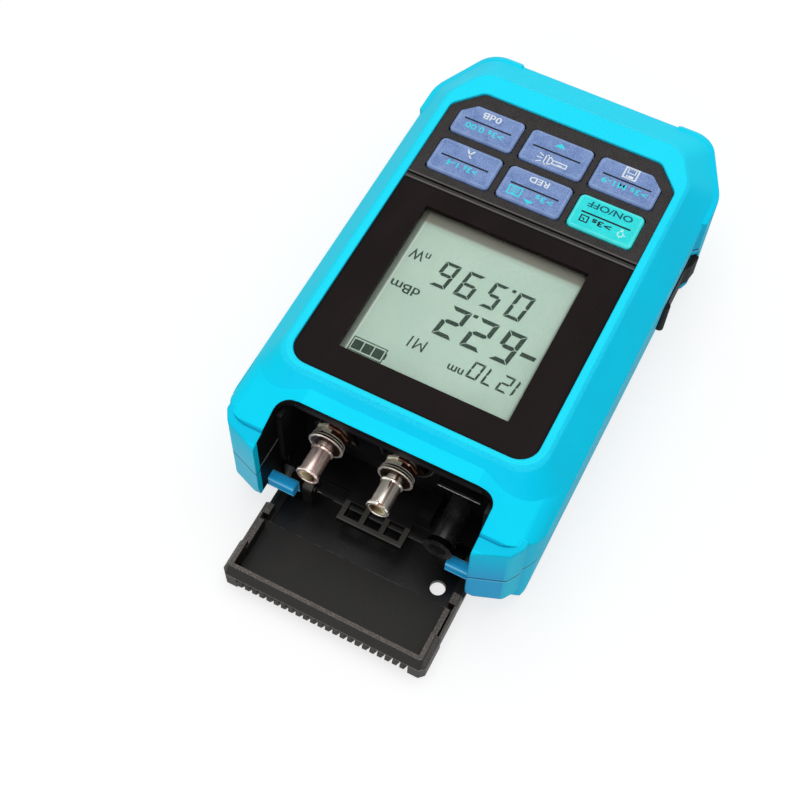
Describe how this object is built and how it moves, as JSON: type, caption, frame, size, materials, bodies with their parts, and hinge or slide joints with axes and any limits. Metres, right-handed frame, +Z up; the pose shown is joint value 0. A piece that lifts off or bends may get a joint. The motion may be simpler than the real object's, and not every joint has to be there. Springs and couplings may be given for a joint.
{
  "type": "optical power meter",
  "caption": "Hand-held optical power meter with a red-light source, ferrule ports in an open bay, a square display, sprung keys and a ribbed dust cover hinged on the port end.",
  "frame": {"origin": "on the flat back that the meter lies on, below the middle of the case", "axes": "+X to the right as seen with the ports towards the viewer, +Y from the port end to the keypad end, +Z up out of the display"},
  "size_m": [0.071, 0.1365, 0.0355],
  "materials": {
    "shell_cyan": "satin",
    "bay_black": "matte",
    "frame_dark": "gloss",
    "pane_clear": "clear",
    "lcd_glass": "clear",
    "holder_grey": "matte",
    "keypad_dark": "matte",
    "key_slate": "satin",
    "key_aqua": "satin",
    "mat_rubber": "matte",
    "board_green": "satin",
    "switch_steel": "brushed",
    "adapter_nickel": "polished",
    "nut_nickel": "turned",
    "module_brass": "turned",
    "torch_black": "gloss",
    "lamp_clear": "clear",
    "screw_steel": "brushed",
    "cell_wrap": "satin",
    "cradle_black": "matte",
    "socket_steel": "polished",
    "flap_rubber": "matte",
    "cover_black": "satin"
  },
  "bodies": {
    "case": {"upper_housing": "shell_cyan", "lower_housing": "shell_cyan", "port_panel": "bay_black", "display_frame": "frame_dark", "display_pane": "pane_clear", "lcd_cell": "lcd_glass", "lcd_holder": "holder_grey", "keypad_plate": "keypad_dark", "key_mat": "mat_rubber", "main_board": "board_green", "key_switches": "switch_steel", "laser_adapter": "adapter_nickel", "laser_adapter_nut": "nut_nickel", "meter_adapter": "adapter_nickel", "meter_adapter_nut": "nut_nickel", "laser_module": "module_brass", "photodiode": "module_brass", "torch_barrel": "torch_black", "torch_lamp": "lamp_clear", "port_panel_screw": "screw_steel", "battery_cover": "shell_cyan", "battery_cells": "cell_wrap", "battery_cradle": "cradle_black", "charge_board": "board_green", "usb_socket": "socket_steel", "cover_hinge_pins": "screw_steel"},
    "key_reference": {"key_reference": "key_slate"},
    "key_torch": {"key_torch": "key_slate"},
    "key_save": {"key_save": "key_slate"},
    "key_wavelength": {"key_wavelength": "key_slate"},
    "key_laser": {"key_laser": "key_slate"},
    "key_power": {"key_power": "key_aqua"},
    "socket_flap": {"usb_plug_cover": "flap_rubber"},
    "cover": {"dust_cover": "cover_black"}
  },
  "joints": [
    {"name": "key_reference_press", "type": "slide", "parent": "case", "child": "key_reference", "axis": [0, 0, -1], "range_m": [0, 0.0006], "stiffness_N_per_m": 800},
    {"name": "key_torch_press", "type": "slide", "parent": "case", "child": "key_torch", "axis": [0, 0, -1], "range_m": [0, 0.0006], "stiffness_N_per_m": 800},
    {"name": "key_save_press", "type": "slide", "parent": "case", "child": "key_save", "axis": [0, 0, -1], "range_m": [0, 0.0006], "stiffness_N_per_m": 800},
    {"name": "key_wavelength_press", "type": "slide", "parent": "case", "child": "key_wavelength", "axis": [0, 0, -1], "range_m": [0, 0.0006], "stiffness_N_per_m": 800},
    {"name": "key_laser_press", "type": "slide", "parent": "case", "child": "key_laser", "axis": [0, 0, -1], "range_m": [0, 0.0006], "stiffness_N_per_m": 800},
    {"name": "key_power_press", "type": "slide", "parent": "case", "child": "key_power", "axis": [0, 0, -1], "range_m": [0, 0.0006], "stiffness_N_per_m": 800},
    {"name": "cover_hinge", "type": "hinge", "parent": "case", "child": "cover", "pos_m": [0, -0.0513, 0.0065], "axis": [-1, 0, 0], "range_deg": [0, 90]},
    {"name": "socket_flap_hinge", "type": "hinge", "parent": "case", "child": "socket_flap", "pos_m": [0.0342, 0.02, 0.01165], "axis": [0, 0, -1], "range_deg": [0, 100]}
  ]
}
